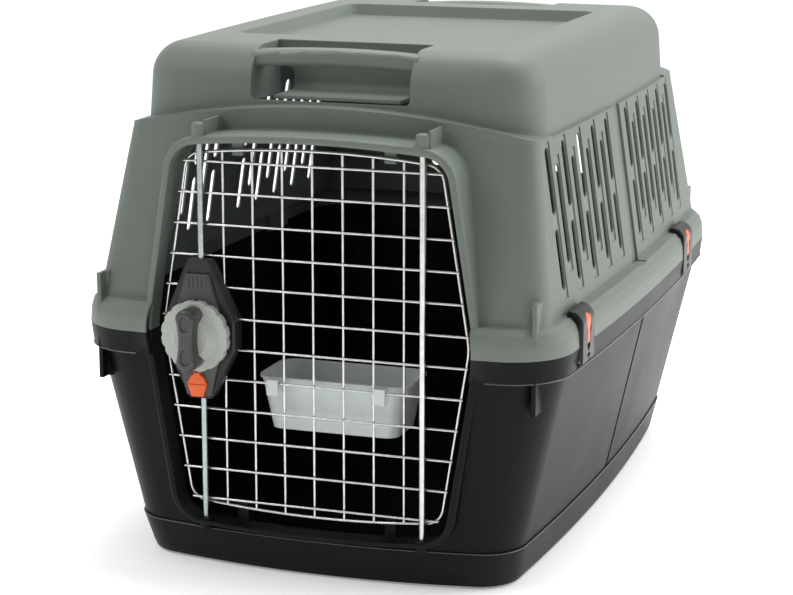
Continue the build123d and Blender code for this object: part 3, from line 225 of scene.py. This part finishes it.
# Bolts
# Two steel rods that slide out of the lock into the shells, one up and one
# down. They are zinc plated as the wires are, with a bluer passivation.
blue_zinc = plated("blue_zinc", (0.40, 0.45, 0.46), 0.2)
dress(blue_zinc, "upper_bolt", "lower_bolt")

# Lock
# Housing and back plate of moulded black nylon, screwed together through the
# mesh, under a mid-grey cover. The pinion inside is of the same black nylon.
black_nylon = plastic(
    "black_nylon", (0.007, 0.007, 0.007), 0.38,
    grain_size=1400, bump=0.12, edge=0.03, specular=0.3,
)
dress(black_nylon, "lock_housing", "lock_back_plate", "dial_pinion")
cover_grey = plastic(
    "cover_grey", (0.052, 0.056, 0.054), 0.42,
    grain_size=1400, bump=0.15, edge=0.06, specular=0.3,
)
dress(cover_grey, "lock_cover")

# Small steel parts
# The lock's screws, the dial's axle, the button's spring and the pins of the
# clips are all of plain turned or drawn steel, hardly seen in use.
plain_steel = plated("plain_steel", (0.6, 0.6, 0.6), 0.25)
dress(plain_steel, "lock_screws", "dial_axle", "clip_pins", "safety_spring")

# Dial
# A pale grey acetal wheel, moulded with a scalloped rim, and a dark soft-touch
# grip bar that is fixed across it.
pale_wheel = plastic("pale_wheel", (0.37, 0.39, 0.36), 0.42, grain_size=1600, bump=0.08, edge=0.0)
dress(pale_wheel, "dial_wheel")
dark_grip = plastic("dark_grip", (0.034, 0.036, 0.034), 0.34, grain_size=1600, bump=0.10, edge=0.10)
dress(dark_grip, "dial_grip")

# Orange catches
# The lock's button and the sliding catches of the four clips: small acetal
# mouldings in bright orange, smooth and even in colour.
clip_places = ["front_left", "front_right", "rear_left", "rear_right"]
signal_orange = plastic("signal_orange", (0.70, 0.100, 0.012), 0.42, grain_size=1600, bump=0.06, edge=0.0)
dress(signal_orange, "safety_button", *["catch_" + place for place in clip_places])

# Clips
# Dark grey acetal mouldings that turn on steel pins in the lower belt and snap
# over the belt of the upper shell.
clip_grey = plastic(
    "clip_grey", (0.009, 0.010, 0.010), 0.38,
    grain_size=1200, bump=0.12, edge=0.05, specular=0.2,
)
dress(clip_grey, *["clip_" + place for place in clip_places])

# Water bowl
# Milky white polypropylene, thin and a little translucent, moulded with the
# two hooks that hang it on the door's wires.
milky = plastic("milky_white", (0.50, 0.54, 0.54), 0.40, grain_size=1400, bump=0.06, mottle=0.02, edge=0.0)
milky_shader = milky.node_tree.nodes["Principled BSDF"]
milky_shader.inputs["Subsurface Weight"].default_value = 0.25
milky_shader.inputs["Subsurface Scale"].default_value = 0.01
dress(milky, "bowl")

# Welds
# Resistance welds where cross wires and uprights meet: a small flattened
# nugget at each crossing, squeezed out between the two wires.
nugget_half = (0.0019, 0.0011, 0.0017)   # half its width, depth and height
row_gap = 0.004         # two cross wires are further apart than this
column_reach = 0.006    # an upright's points are this near its place across the door
crossing_reach = 0.03   # its points this near a cross wire, up and down, place the weld
upright_points = [vertex.co for vertex in nodes["door_verticals"].data.vertices]
cross_heights = sorted(vertex.co.z for vertex in nodes["door_horizontals"].data.vertices)
meeting = (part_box("door_horizontals")[1][1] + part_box("door_verticals")[0][1]) / 2

# Places of the uprights to the nearest centimetre, and the foot and top of each cross wire
columns = sorted({round(point.x, 2) for point in upright_points})
rows = []
for height in cross_heights:
    if not rows or height > rows[-1][1] + row_gap:
        rows.append([height, height])
    rows[-1][1] = height

nugget = bmesh.new()
for low, high in rows:
    for x in columns:
        near = [
            point for point in upright_points
            if abs(point.x - x) < column_reach and low - crossing_reach < point.z < high + crossing_reach
        ]
        if not near:
            continue
        middle = sum(point.x for point in near) / len(near)
        spot = Matrix.Translation((middle, meeting, (low + high) / 2))
        squeeze = Matrix.Diagonal((*nugget_half, 1))
        bmesh.ops.create_icosphere(nugget, subdivisions=2, radius=1.0, matrix=spot @ squeeze)
for face in nugget.faces:
    face.smooth = True
weld_mesh = bpy.data.meshes.new("door_welds")
nugget.to_mesh(weld_mesh)
nugget.free()
welds = bpy.data.objects.new("door_welds", weld_mesh)
bpy.context.scene.collection.objects.link(welds)
weld_mesh.materials.append(plated("weld_grey", (0.42, 0.42, 0.41), 0.34, streak=0.2))
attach(welds, "door")

# Flange bead
# A thin bead, moulded on the lower edge of the tub's dark belt. It follows the
# bowed sides and round corners, and dies out at the door surround.
seam_half_w, seam_half_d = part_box("lower_shell")[1][:2]
belt_bow_w = 0.012        # how far the long sides bow out
belt_bow_d = 0.008        # how far the ends bow out
belt_corner = 0.060
belt_low = 0.2100         # lower edge of the dark belt
belt_draft = 0.0025       # how far the belt leans in, from the seam down to there
flange_bead_r = 0.0007
flange_bead_lift = 0.0004
flange_bead_proud = 0.0002
surround_half_w = 0.172
surround_depth = 0.050    # how far behind the front end it reaches


def bowed_outline(half_w, half_d, bow_w, bow_d, corner):
    """Points round a rectangle with bowed sides and round corners, from the middle of the front."""
    bow_steps = 48
    corner_steps = 16
    side_r = ((half_d - bow_d) ** 2 + bow_w ** 2) / (2 * bow_w)
    end_r = ((half_w - bow_w) ** 2 + bow_d ** 2) / (2 * bow_d)
    side_centre = half_w - side_r
    end_centre = half_d - end_r

    # The corner's centre is its radius inside both bows, so it is where two
    # circles cross that run that far inside them
    side_inner = side_r - corner
    end_inner = end_r - corner
    apart = math.hypot(side_centre, end_centre)
    along = (side_inner ** 2 - end_inner ** 2 + apart ** 2) / (2 * apart)
    off = math.sqrt(side_inner ** 2 - along ** 2)
    to_x = -side_centre / apart
    to_y = end_centre / apart
    crossings = [
        (side_centre + along * to_x - side * off * to_y, along * to_y + side * off * to_x)
        for side in (-1, 1)
    ]
    corner_x, corner_y = max(crossings, key=sum)

    # Angles from the middle of each bow to where the corner starts
    side_turn = math.atan2(corner_y, corner_x - side_centre)
    end_turn = math.atan2(corner_x, corner_y - end_centre)
    corner_turn = math.pi / 2 - side_turn - end_turn
    quarter = []
    for i in range(bow_steps):
        turn = end_turn * i / bow_steps
        quarter.append((end_r * math.sin(turn), end_centre + end_r * math.cos(turn)))
    for i in range(corner_steps + 1):
        turn = end_turn + corner_turn * i / corner_steps
        quarter.append((corner_x + corner * math.sin(turn), corner_y + corner * math.cos(turn)))
    for i in reversed(range(bow_steps)):
        turn = side_turn * i / bow_steps
        quarter.append((side_centre + side_r * math.cos(turn), side_r * math.sin(turn)))
    front = [(x, -y) for x, y in quarter]
    right = front + quarter[-2::-1]
    return right + [(-x, y) for x, y in reversed(right[1:-1])]


# The beads are the tub's near-black plastic, drawn ten times paler and glossier: a painted highlight along
# the edges they run on
bead_highlight = plastic("bead_highlight", (0.040, 0.043, 0.042), 0.30, edge=0.0, specular=0.7)


def bead_line(name, points, z, radius):
    """A round bead along points at height z."""
    curve = bpy.data.curves.new(name, "CURVE")
    curve.dimensions = "3D"
    curve.bevel_depth = radius
    curve.bevel_resolution = 3
    line = curve.splines.new("POLY")
    line.points.add(len(points) - 1)
    for point, (x, y) in zip(line.points, points):
        point.co = (x, y, z, 1)
    curve.materials.append(bead_highlight)
    piece = bpy.data.objects.new(name, curve)
    bpy.context.scene.collection.objects.link(piece)
    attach(piece, "lower")


belt_inset = belt_draft - flange_bead_proud
belt_ring = bowed_outline(
    seam_half_w - belt_inset, seam_half_d - belt_inset, belt_bow_w, belt_bow_d, belt_corner - belt_inset
)
past_surround = [
    (x, y) for x, y in belt_ring
    if y > surround_depth - seam_half_d or abs(x) > surround_half_w
]
bead_line("flange_bead", past_surround, belt_low + flange_bead_lift, flange_bead_r)

# Plinth bead
# The same kind of bead, moulded all round on the plinth's upper edge, where
# the wall above stands back from it.
plinth_back_w = 0.0435    # how far the plinth stands in from the seam, at the sides
plinth_back_d = 0.0170    # and at the ends
plinth_bow_w = 0.013
plinth_bow_d = 0.022
plinth_corner = 0.042
plinth_top = 0.038
plinth_bead_r = 0.0006
plinth_bead_sunk = 0.0003
plinth_ring = bowed_outline(
    seam_half_w - plinth_back_w - plinth_bead_sunk,
    seam_half_d - plinth_back_d - plinth_bead_sunk,
    plinth_bow_w, plinth_bow_d, plinth_corner - plinth_bead_sunk,
)
bead_line("plinth_bead", plinth_ring + plinth_ring[:1], plinth_top, plinth_bead_r)

# Floor
# A plain pale sheet that reaches far past the view and lies just under the
# box. It glows a little, so that it reads as white paper.
floor_drop = 0.0006
sheet = bpy.data.meshes.new("floor")
sheet.from_pydata([(-6, -6, 0), (6, -6, 0), (6, 8, 0), (-6, 8, 0)], [], [(0, 1, 2, 3)])
floor = bpy.data.objects.new("floor", sheet)
floor.location.z = -floor_drop
bpy.context.scene.collection.objects.link(floor)
paper = bpy.data.materials.new("pale_floor")
paper.use_nodes = True
paper_link = paper.node_tree.links.new
paper_shader = paper.node_tree.nodes["Principled BSDF"]
fleck = paper.node_tree.nodes.new("ShaderNodeTexNoise")
fleck.inputs["Scale"].default_value = 3
tone = paper.node_tree.nodes.new("ShaderNodeValToRGB")
tone.color_ramp.elements[0].color = (0.93, 0.93, 0.93, 1)
tone.color_ramp.elements[1].color = (0.96, 0.96, 0.96, 1)
paper_link(fleck.outputs["Fac"], tone.inputs["Fac"])
paper_link(tone.outputs["Color"], paper_shader.inputs["Base Color"])
paper_shader.inputs["Roughness"].default_value = 0.9
paper_shader.inputs["Emission Color"].default_value = (1, 1, 1, 1)
paper_shader.inputs["Emission Strength"].default_value = 0.22
sheet.materials.append(paper)

# Light
# A white room that is dimmer behind the camera, with broad soft lights from
# the right and over the roof, and a weaker one high on the left in front.
room = bpy.data.worlds.new("white_room")
room.use_nodes = True
room_add = room.node_tree.nodes.new
room_link = room.node_tree.links.new
backdrop = room.node_tree.nodes["Background"]
backdrop.inputs["Color"].default_value = (1, 1, 1, 1)
direction = room_add("ShaderNodeTexCoord")
axes = room_add("ShaderNodeSeparateXYZ")
wall = room_add("ShaderNodeMapRange")
wall.inputs["From Min"].default_value = -0.9
wall.inputs["From Max"].default_value = 0.35
wall.inputs["To Min"].default_value = 0.42
wall.inputs["To Max"].default_value = 1.0
room_link(direction.outputs["Generated"], axes.inputs["Vector"])
room_link(axes.outputs["Y"], wall.inputs["Value"])
room_link(wall.outputs["Result"], backdrop.inputs["Strength"])
bpy.context.scene.world = room
for name, place, aim, size, power in (
    ("right_soft", (2.6, 0.9, 1.5), (0, 0, 0.25), (2.0, 1.6), 46),
    ("top_soft", (0.2, 0.7, 2.6), (0, 0.05, 0.4), (1.8, 1.8), 56),
    ("left_high", (-1.5, -1.6, 2.2), (-0.05, -0.2, 0.45), (1.0, 1.0), 20),
):
    lamp = bpy.data.lights.new(name, "AREA")
    lamp.shape = "RECTANGLE"
    lamp.size, lamp.size_y = size
    lamp.energy = power
    light = bpy.data.objects.new(name, lamp)
    bpy.context.scene.collection.objects.link(light)

    # A lamp shines down its own Z, so that axis is turned away from the aim
    away_x, away_y, away_z = [start - end for start, end in zip(place, aim)]
    tilt = math.atan2(math.hypot(away_x, away_y), away_z)
    turn = math.atan2(away_x, -away_y)
    light.location = place
    light.rotation_euler = (tilt, 0, turn)

# Camera
# It stands to the right of the door, a little above the roof, with a long
# lens: the place, aim and focal length were fitted to the photograph.
photo_w = 793             # pixels
focal_pixels = 2271.43
sensor_w = 36.0           # millimetres
pitch = 77.27             # degrees up from straight down
heading = 19.11           # degrees to the left
lens = bpy.data.cameras.new("photo_camera")
lens.sensor_width = sensor_w
lens.lens = focal_pixels / photo_w * sensor_w
camera = bpy.data.objects.new("photo_camera", lens)
camera.location = (0.7474, -2.2427, 0.7382)
camera.rotation_euler = (math.radians(pitch), 0, math.radians(heading))
bpy.context.scene.collection.objects.link(camera)
bpy.context.scene.camera = camera
bpy.context.scene.view_settings.view_transform = "Standard"
